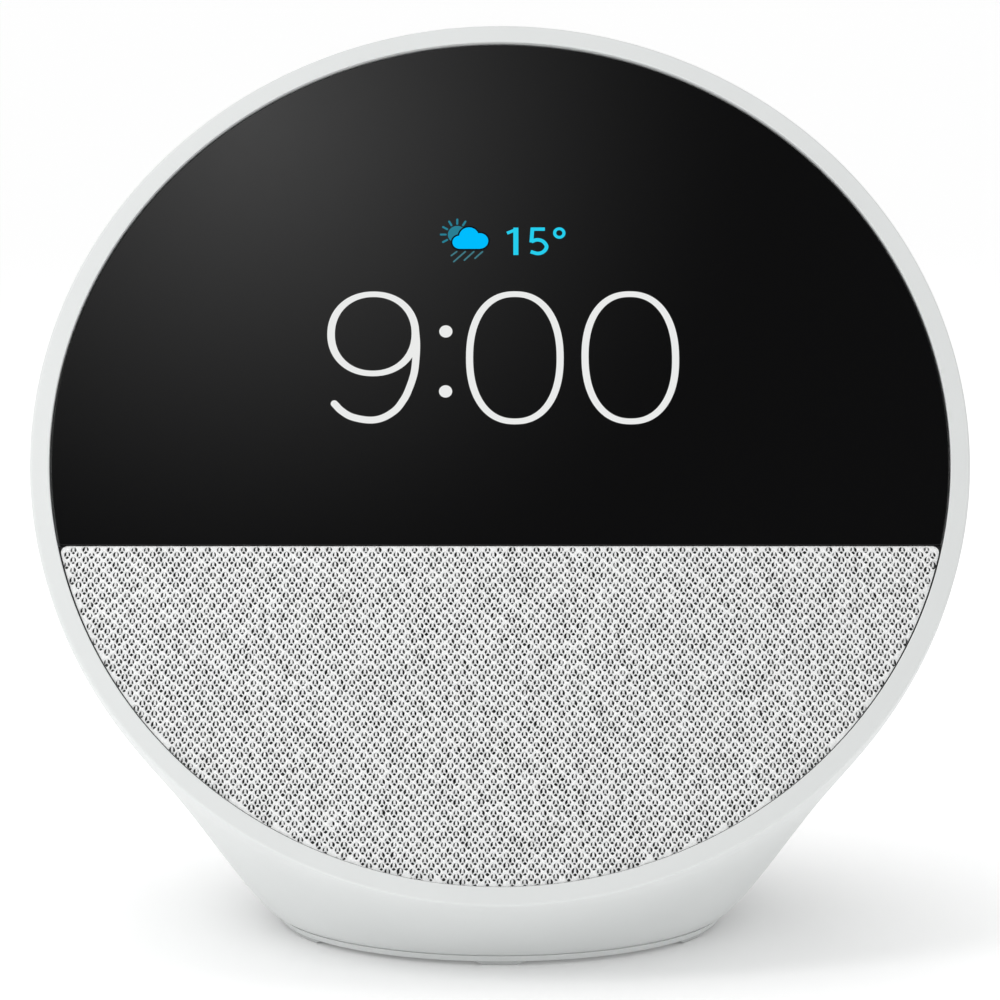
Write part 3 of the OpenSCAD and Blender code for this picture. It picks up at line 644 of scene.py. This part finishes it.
def cloud_outline(grow=0.0):
    """Outline of three round lobes on a flat base, as seen from a point inside."""
    cx, cy, floor = -3.6, 27.0, 26.1 - grow
    flat_left, flat_right = -5.0, -2.4
    lobes = [(-4.95, 26.98, 0.87 + grow), (-3.8, 27.75, 1.2 + grow), (-2.47, 27.15, 1.03 + grow)]
    out = []
    for i in range(120):
        a = 2 * math.pi * i / 120
        dx, dy = math.cos(a), math.sin(a)
        reach = 0.0
        for lx, ly, r in lobes:
            bx, by = cx - lx, cy - ly
            half = bx * dx + by * dy
            disc = half * half - (bx * bx + by * by - r * r)
            if disc > 0:
                reach = max(reach, -half + math.sqrt(disc))
        if dy < -1e-6:
            down = (floor - cy) / dy
            if flat_left < cx + dx * down < flat_right:
                reach = down
            reach = min(reach, down)
        out.append((cx + dx * reach, cy + dy * reach))
    return out


def weather():
    """Cloud, sun and rain beside the temperature; the sun lies lowest, the cloud on top."""
    sun, sun_r, ray_start, ray_end = (-5.24, 28.0), 1.15, 1.42, 2.0
    rays = []
    for deg in range(60, 211, 30):
        c, s = math.cos(math.radians(deg)), math.sin(math.radians(deg))
        rays.append(stroke([(sun[0] + r * c, sun[1] + r * s) for r in (ray_start, ray_end)],
                           0.26))
    flat_shapes("weather_sun", [superellipse(*sun, sun_r, sun_r, 2, 48)] + rays, [],
                LIT - 0.004, WEATHER, SUN)
    flat_shapes("weather_cloud_edge", [cloud_outline(0.2)], [], LIT - 0.001, WEATHER, HALO)
    flat_shapes("weather_cloud", [cloud_outline()], [], LIT + 0.003, WEATHER, CLOUD)
    drops = [((-5.3, 25.72), (-5.95, 25.2)), ((-4.25, 25.72), (-5.65, 24.4)),
             ((-3.2, 25.72), (-4.35, 24.6)), ((-2.15, 25.72), (-3.05, 24.85))]
    flat_shapes("weather_rain", [stroke(d, 0.2) for d in drops], [], LIT, WEATHER, RAIN)
    one = [stroke([(1.94, 25.28), (1.94, 28.92)], 0.62, False),
           stroke([(2.1, 28.72), (0.86, 28.18)], 0.4, False)]
    belly = catmull([(3.85, 27.05), (4.5, 27.3), (5.25, 27.1), (5.7, 26.4), (5.35, 25.75),
                     (4.65, 25.48), (3.75, 25.72)], 6)
    five = [stroke([(5.5, 28.72), (3.8, 28.72)], 0.44, False),
            stroke([(3.98, 28.9), (3.84, 26.95)], 0.46, False), stroke(belly, 0.46, False)]
    ring = [superellipse(7.26, 28.2, r, r, 2, 40) for r in (0.76, 0.38)]
    flat_shapes("weather_degrees", one + five, [ring], LIT, WEATHER, CYAN)


weather()

# --- Knitted grille -------------------------------------------------------------------------
PITCH_X = 1.455
PITCH_Y = 0.64
CLOTH_TOP = -WINDOW_DROP - 0.05
CLOTH_R = RIM_INNER - RIM_GAP
CLOTH_EDGE = -WINDOW_EDGE - 0.06
CORNER = 1.0
FIRST_ROW = 0.5        # from the straight edge to the first row of holes
OVERLAP = 0.6          # how far past the outline cells are still laid
MARGIN = 0.15          # cells nearer the outline than this are closed
ROLL = 0.5             # width of the rolled-down edge
ROLL_BEND = 0.9


def outside(p):
    """Signed distance past the fabric's outline, and the way out."""
    r = np.linalg.norm(p, axis=1)
    d1 = r - (CLOTH_R - CORNER)
    d2 = p[:, 1] - (CLOTH_EDGE - CORNER)
    n1 = p / np.maximum(r, 1e-9)[:, None]
    n2 = np.array([[0.0, 1.0]])
    both = (d1 > 0) & (d2 > 0)
    length = np.hypot(np.maximum(d1, 0), np.maximum(d2, 0))
    dist = np.where(both, length, np.maximum(d1, d2)) - CORNER
    away = np.where((d1 > d2)[:, None], n1, n2)
    mixed = n1 * np.maximum(d1, 0)[:, None] + n2 * np.maximum(d2, 0)[:, None]
    mixed /= np.maximum(np.linalg.norm(mixed, axis=1), 1e-9)[:, None]
    return dist, np.where(both[:, None], mixed, away)


def cells():
    """Centres of the knit's cells, every other row shifted by half a pitch."""
    centres = []
    rows = int((CLOTH_R + CLOTH_EDGE) / PITCH_Y) + 2
    cols = int(CLOTH_R / PITCH_X) + 2
    for j in range(-1, rows):
        y = CLOTH_EDGE - FIRST_ROW - j * PITCH_Y
        for i in range(-cols, cols + 1):
            centres.append((PITCH_X * (i + 0.5 * (j % 2)), y))
    centres = np.array(centres)
    dist, _ = outside(centres)
    return centres[dist < OVERLAP]


def settle(pts):
    """Draws points in to the outline and rolls the fabric's edge down."""
    flat = pts[:, :2].copy()
    for _ in range(3):
        dist, away = outside(flat)
        flat -= away * np.maximum(dist, 0)[:, None]
    dist, _ = outside(flat)
    roll = np.clip(dist + ROLL, 0, ROLL)
    return np.c_[flat, pts[:, 2] - ROLL_BEND * roll * roll]


def fabric():
    """Front face of the knit: a net of yarn with a pointed hole in every cell."""
    rng = np.random.default_rng(3)
    hx, hy = PITCH_X / 2, PITCH_Y
    count = 12
    hole_w, hole_up, hole_down, hole_lift = 0.36, 0.42, 0.51, 0.02
    shoulder, edge, floor = -0.035, -0.17, -0.36
    angle = 2 * math.pi * np.arange(count) / count
    # rhombus boundary, hole edge and the hole's wall, as rings of count points
    c, s = np.cos(angle), np.sin(angle)
    reach = 1 / (np.abs(c) / hx + np.abs(s) / hy)
    border = np.stack([reach * c, reach * s], axis=1)
    hole = np.stack([hole_w * c * (1 - 0.2 * np.maximum(-s, 0)),
                     np.where(s > 0, hole_up, hole_down) * s + hole_lift], axis=1)
    crossing = np.abs(c) ** 6 * 0.05 + np.abs(s) ** 6 * 0.03
    rings = [np.c_[border, crossing],
             np.c_[border * 0.45 + hole * 0.55, crossing * 0.4 + shoulder],
             np.c_[hole, np.full(count, edge)], np.c_[hole * 1.04, np.full(count, floor)]]
    centres = cells()
    pts, faces = [], []
    shared = {}
    index = 0
    margin, _ = outside(centres)
    for (cx, cy), past in zip(centres, margin):
        jx, jy = rng.normal(0, 0.022, 2)
        grow = 1 + rng.normal(0, 0.05)
        ids = []
        solid = past > -MARGIN
        for k, ring in enumerate(rings[:1] if solid else rings):
            row = []
            for x, y, z in ring:
                if k == 0:
                    key = (round((cx + x) * 50), round((cy + y) * 50))
                    if key not in shared:
                        shared[key] = index
                        pts.append((cx + x, cy + y, z))
                        index += 1
                    row.append(shared[key])
                else:
                    pts.append((cx + x * grow + jx, cy + y * grow + jy, z))
                    row.append(index)
                    index += 1
            ids.append(row)
        if solid:
            pts.append((cx, cy, 0.0))
            faces.extend((ids[0][i], ids[0][(i + 1) % count], index) for i in range(count))
            index += 1
        for a, b in zip(ids, ids[1:]):
            for i in range(count):
                n = (i + 1) % count
                faces.append((a[i], a[n], b[n], b[i]))
    pts = settle(np.array(pts))
    pts[:, 2] += CLOTH_TOP
    obj = build("grille_knit", pts, faces, FACE)
    bm = bmesh.new()
    bm.from_mesh(obj.data)
    bmesh.ops.dissolve_degenerate(bm, dist=2e-6, edges=bm.edges)
    up = FACE.to_3x3() @ Vector((0, 0, 1))
    total = sum(f.normal.dot(up) * f.calc_area() for f in bm.faces)
    if total < 0:
        bmesh.ops.reverse_faces(bm, faces=bm.faces)
    bm.to_mesh(obj.data)
    bm.free()
    obj.data.polygons.foreach_set("use_smooth", [True] * len(obj.data.polygons))
    return finish_piece(obj, YARN, "body", ["grille_fabric"])


def fabric_core():
    """Back loops of the knit: a short yarn hanging across each hole from its top."""
    rng = np.random.default_rng(5)
    centres = cells()
    dist, _ = outside(centres)
    centres = centres[dist < -MARGIN]
    pts, faces = [], []

    def yarn(path, across):
        """A half-round yarn along (x, y, lift, half-width) points."""
        base, n = len(pts), len(across)
        for i, (x, y, lift, w) in enumerate(path):
            ax, ay = path[max(i - 1, 0)][:2]
            bx, by = path[min(i + 1, len(path) - 1)][:2]
            run = math.hypot(bx - ax, by - ay)
            nx, ny = -(by - ay) / run, (bx - ax) / run
            for u, h in across:
                pts.append((x + nx * u * w, y + ny * u * w, lift + h * w))
        for i in range(len(path) - 1):
            for j in range(n - 1):
                a = base + i * n + j
                faces.append((a, a + 1, a + n + 1, a + n))

    trunk = [(-1.0, 0.0), (-0.5, 0.85), (0.5, 0.85), (1.0, 0.0)]
    leg = [(-1.0, 0.0), (0.0, 0.9), (1.0, 0.0)]
    for cx, cy in centres:
        jx, jy = rng.normal(0, 0.03, 2)
        dip = -0.36 + rng.normal(0, 0.025)
        x, y = cx + jx, cy + jy
        yarn([(x, y + 0.5, dip + 0.06, 0.10), (x, y + 0.25, dip + 0.06, 0.145),
              (x, y + 0.0, dip + 0.05, 0.14), (x, y - 0.17, dip, 0.09)], trunk)
        for side in (-1, 1):
            yarn([(x + side * 0.04, y - 0.02, dip, 0.07),
                  (x + side * 0.2, y - 0.16, dip - 0.02, 0.085),
                  (x + side * 0.36, y - 0.36, dip - 0.04, 0.08)], leg)
    pts = settle(np.array(pts))
    pts[:, 2] += CLOTH_TOP
    obj = build("grille_knit_back", pts, faces, FACE)
    # the darker yarn of the back loops is painted shade
    return finish_piece(obj, SHADED_CORE, "body")


knit = fabric()
knit_back = fabric_core()


def carrier_edge_and_gap_shade():
    """The black edge of the grille's carrier, seen in the gap round the fabric over the rim's
    white seat: partly the carrier's own black plastic, partly painted shade for the dark gap.
    """
    inner, outer, low = 53.3, RIM_INNER - 0.02, -1.25
    profile = [(inner, low), (inner, -1.05), (outer, -1.0), (outer, low)]
    steps = 120
    start = math.asin(CLOTH_EDGE / RIM_INNER)
    pts = []
    for k in range(steps + 1):
        a = start - (math.pi + 2 * start) * k / steps
        pts += [(r * math.cos(a), r * math.sin(a), w) for r, w in profile]
    n = len(profile)
    faces = ring_faces(steps + 1, n) + end_faces(n, len(pts))
    obj = build("carrier_edge_and_gap_shade", pts, faces, FACE, sharp=40)
    recalc(obj)
    # the black covers the rim's white seat in the gap: painted shade, as well as the carrier's
    # own colour
    return finish_piece(obj, BLACK, "body")


carrier_edge_and_gap_shade()


# --- Buttons -------------------------------------------------------------------------------
def dome(x, y):
    """Height of the shell's dome under a point of the buttons' frame."""
    return BUTTON_PROUD - DOME_R + math.sqrt(DOME_R ** 2 - x * x - y * y)


def button(name, x0, body, node, strokes):
    """A domed cap with a flange under the shell, a stem, and its printed mark."""
    segments = 96
    edge = 0.35
    flange_r, flange_t, under_gap = BUTTON_R + 0.8, 1, 0.35
    rings = [(0.02, 0.0)] + [((BUTTON_R - edge) * k / 8, 0.0) for k in range(1, 9)]
    for k in range(1, 7):
        a = math.pi / 2 * k / 6
        rings.append((BUTTON_R - edge + edge * math.sin(a), -edge * (1 - math.cos(a))))
    pts = []
    for r, dz in rings:
        for j in range(segments):
            t = 2 * math.pi * j / segments
            x, y = r * math.cos(t), r * math.sin(t)
            pts.append((x0 + x, y, dome(x0 + x, y) + dz))
    reach = abs(x0) + flange_r
    under = math.sqrt((DOME_R - WALL) ** 2 - reach * reach) - DOME_R - under_gap
    lower = [(BUTTON_R, under), (flange_r, under), (flange_r, under - flange_t),
             (STEM_R, under - flange_t), (STEM_R, STEM_END), (0.02, STEM_END)]
    for r, z in lower:
        for j in range(segments):
            t = 2 * math.pi * j / segments
            pts.append((x0 + r * math.cos(t), r * math.sin(t), z))
    faces = ring_faces(len(rings) + len(lower), segments)
    obj = build(name, pts, faces, BUTTONS, sharp=50)
    recalc(obj)
    close_ends(obj)
    finish_piece(obj, SHELL, body, [node])
    flat_shapes(name + "_mark", strokes, [], 0, BUTTONS, MARK, body,
                lift=lambda x, y: dome(x, y) + PRINT)


def line(a, b, width=0.34, x0=0, parts=8):
    """A straight stroke in short steps, so that it follows the cap's curve."""
    path = [(x0 + a[0] + (b[0] - a[0]) * k / parts, a[1] + (b[1] - a[1]) * k / parts)
            for k in range(parts + 1)]
    return stroke(path, width)


THIN = 0.26
ARM = 1.4
cradle = stroke(arc(0, 0.35, 0.85, math.pi, 2 * math.pi, 16), THIN)
mic_mark = [line((0, 0.35), (0, 1.15), 0.8), cradle, line((0, -0.5), (0, -1.15), THIN),
            line((-0.6, -1.2), (0.6, -1.2), THIN), line((-1.35, -1.35), (1.35, 1.75), THIN)]
button("button_volume_down", -BUTTON_PITCH, "volume_down", "volume_down_button",
       [line((-ARM, 0), (ARM, 0), x0=-BUTTON_PITCH)])
button("button_mute", 0, "mute", "mute_button", mic_mark)
button("button_volume_up", BUTTON_PITCH, "volume_up", "volume_up_button",
       [line((-ARM, 0), (ARM, 0), x0=BUTTON_PITCH), line((0, -ARM), (0, ARM), x0=BUTTON_PITCH)])


# --- Base ----------------------------------------------------------------------------------
def base():
    """The white base plate with its lip and the shadow groove above it."""
    opening = BASE_R - WALL
    top, groove, boss_r = 2.6, 0.3, 17
    outline = [(0.05, FOOT_H), (BASE_R - 0.5, FOOT_H), (BASE_R - 0.03, LIP_TOP),
               (BASE_R - groove, LIP_TOP), (BASE_R - groove, BASE_Z), (opening - 0.15, BASE_Z),
               (opening - 0.15, top), (0.05, top)]
    radii = [0, 0.15, 0.06, 0.05, 0.03, 0.02, 0.1, 0]
    place = Matrix.Translation((0, BASE_Y, 0))
    obj = lathe("base_cover", fillet(outline, radii), place, segments=192)
    holes = []
    for deg in (40, 140, 220, 320):
        x, y = boss_r * math.cos(math.radians(deg)), boss_r * math.sin(math.radians(deg))
        spot = Matrix.Translation((0, BASE_Y + y, 0))
        holes.append(cutter(spot, x, 3, -1, 1.5, 48))
        holes.append(cutter(spot, x, 1.05, -1, 3.5, 32))
    cut_holes(obj, holes, "EXACT", 35)
    return finish_piece(obj, SHELL, "body", ["base_plate"])


base()


def feet():
    """Soft pads under the lip, with ends that slope in toward the table."""
    inner, outer = 21.0, BASE_R - 0.6
    # height, half angle in degrees and inset of each ring, from the top down
    rings = [(FOOT_H, 6.3, 0.0), (0.42, 6.15, 0.0), (0.12, 4.6, 0.1), (0.03, 4.35, 0.2),
             (0.0, 4.1, 0.32)]
    arc_steps = 12
    for i in range(6):
        mid = 60 * i - 90
        pts = []
        for z, half, inset in rings:
            sweep = [math.radians(mid + half * (2 * k / arc_steps - 1))
                     for k in range(arc_steps + 1)]
            loop = [(outer - inset, a) for a in sweep] + [(inner + inset, a) for a in sweep[::-1]]
            pts += [(r * math.cos(a), BASE_Y + r * math.sin(a), z) for r, a in loop]
        n = 2 * (arc_steps + 1)
        faces = ring_faces(len(rings), n) + end_faces(n, len(pts))
        obj = build(f"foot_pad_{i + 1}", pts, faces, sharp=40)
        recalc(obj)
        finish_piece(obj, FOOT, "body", ["base_foot"] if i == 0 else [])


feet()


# --- Stage, light and camera -----------------------------------------------------------------
SKY_LEVEL = 0.90
# painted glow: emission on the floor, which is no lamp, strongest far from the object
FLOOR_GLOW = 0.34
GLOW_FROM, GLOW_FULL = 0.005, 0.09
# name, place and size in metres, power in watts
LAMPS = [
    ("key", (-0.16, -0.20, 0.22), 0.12, 0.18),
    ("back", (-0.1, 0.45, 0.65), 0.7, 0.9),
]


def stage():
    """A pale floor with a painted glow that grows away from the object, so that it reads white
    far off, as an overexposed sweep is, and stays darker near the object.
    """
    bpy.ops.mesh.primitive_plane_add(size=40)
    floor = bpy.context.object
    floor.name = "floor"
    look = material("pale_floor_painted_glow", (0.9, 0.9, 0.9), rough=0.9, vary=0.0, bump=0.0,
                    rough_vary=0.0)
    shader = look.node_tree.nodes["Principled BSDF"]
    shader.inputs["Specular IOR Level"].default_value = 0.0
    shader.inputs["Emission Color"].default_value = (1, 1, 1, 1)
    nodes, links = look.node_tree.nodes, look.node_tree.links
    away = nodes.new("ShaderNodeVectorMath")
    away.operation = "LENGTH"
    links.new(nodes["Texture Coordinate"].outputs["Object"], away.inputs[0])
    # painted glow that rises with distance from the object, leaving the floor near it darker
    glow = nodes.new("ShaderNodeMapRange")
    glow.interpolation_type = "SMOOTHSTEP"
    glow.inputs["From Min"].default_value = GLOW_FROM
    glow.inputs["From Max"].default_value = GLOW_FULL
    glow.inputs["To Max"].default_value = FLOOR_GLOW
    links.new(away.outputs["Value"], glow.inputs["Value"])
    links.new(glow.outputs["Result"], shader.inputs["Emission Strength"])
    floor.data.materials.append(look)


stage()


# The dark card stands where the window's reflection looks, with a soft spot on it.
CARD = (0.0, -0.67, 0.74)
CARD_EDGE = math.cos(math.radians(28))
CARD_FULL = math.cos(math.radians(16))
CARD_LEVEL = 0.062
SPOT = tuple(Vector((-0.0575, -0.615, 0.786)).normalized())
SPOT_EDGE = 6.9        # degrees from the spot's middle to where it has faded out
SPOT_LEVEL = 1.47
BEHIND = (0.25, 1.0, 0.0)
BEHIND_DIM = 0.45


def sky():
    """Even soft light, with the graded dark card that a black window shows in a studio."""
    world = bpy.data.worlds.new("studio")
    bpy.context.scene.world = world
    world.use_nodes = True
    nodes, links = world.node_tree.nodes, world.node_tree.links
    where = nodes.new("ShaderNodeTexCoord")

    def dot(vector):
        n = nodes.new("ShaderNodeVectorMath")
        n.operation = "DOT_PRODUCT"
        n.inputs[1].default_value = vector
        links.new(where.outputs["Generated"], n.inputs[0])
        return n.outputs["Value"]

    def maths(kind, a, b):
        n = nodes.new("ShaderNodeMath")
        n.operation = kind
        for socket, value in zip(n.inputs, (a, b)):
            if isinstance(value, (int, float)):
                socket.default_value = value
            else:
                links.new(value, socket)
        return n.outputs[0]

    angle = maths("DEGREES", maths("ARCCOSINE", maths("MINIMUM", dot(SPOT), 1.0), 0), 0)
    fade = maths("MAXIMUM", maths("SUBTRACT", 1.0, maths("DIVIDE", angle, SPOT_EDGE)), 0.0)
    spot = maths("MULTIPLY", maths("POWER", fade, 2.0), SPOT_LEVEL)
    card = maths("ADD", CARD_LEVEL, spot)
    inside = nodes.new("ShaderNodeMapRange")
    inside.interpolation_type = "SMOOTHSTEP"
    inside.inputs["From Min"].default_value = CARD_EDGE
    inside.inputs["From Max"].default_value = CARD_FULL
    links.new(dot(CARD), inside.inputs["Value"])
    level = nodes.new("ShaderNodeMix")
    # the studio is dimmer behind the object, so that its back keeps its shading
    behind = maths("MULTIPLY", maths("MAXIMUM", dot(BEHIND), 0.0), -BEHIND_DIM)
    links.new(maths("MULTIPLY", maths("ADD", behind, 1.0), SKY_LEVEL), level.inputs["A"])
    links.new(inside.outputs["Result"], level.inputs["Factor"])
    links.new(card, level.inputs["B"])
    backdrop = nodes["Background"]
    backdrop.inputs["Color"].default_value = (1, 1, 1, 1)
    links.new(level.outputs["Result"], backdrop.inputs["Strength"])


sky()


def lamp(name, place, target, size, power):
    """A round soft lamp, turned to its target."""
    data = bpy.data.lights.new(name, "AREA")
    data.shape = "DISK"
    data.size = size
    data.energy = power
    obj = bpy.data.objects.new(name, data)
    bpy.context.scene.collection.objects.link(obj)
    obj.location = place
    obj.rotation_euler = (Vector(target) - Vector(place)).to_track_quat("-Z", "Y").to_euler()


CENTRE = (0, FACE_Y * MM, FACE_Z * MM)
for lamp_name, lamp_place, lamp_size, lamp_power in LAMPS:
    lamp(lamp_name, lamp_place, CENTRE, lamp_size, lamp_power)


VIEW_AHEAD = 536.6
VIEW_ABOVE = 60.2
VIEW_DOWN = 7.04
LENS = 161.7


def camera():
    """At the photograph's viewing angle: a long lens, a little above the face's centre."""
    data = bpy.data.cameras.new("camera")
    data.sensor_width = 36
    data.lens = LENS
    data.clip_start = 0.05
    data.clip_end = 100
    obj = bpy.data.objects.new("camera", data)
    bpy.context.scene.collection.objects.link(obj)
    obj.location = (0, (FACE_Y - VIEW_AHEAD) * MM, (FACE_Z + VIEW_ABOVE) * MM)
    obj.rotation_euler = (math.radians(90 - VIEW_DOWN), 0, 0)
    bpy.context.scene.camera = obj


camera()
bpy.context.scene.view_settings.view_transform = "Standard"
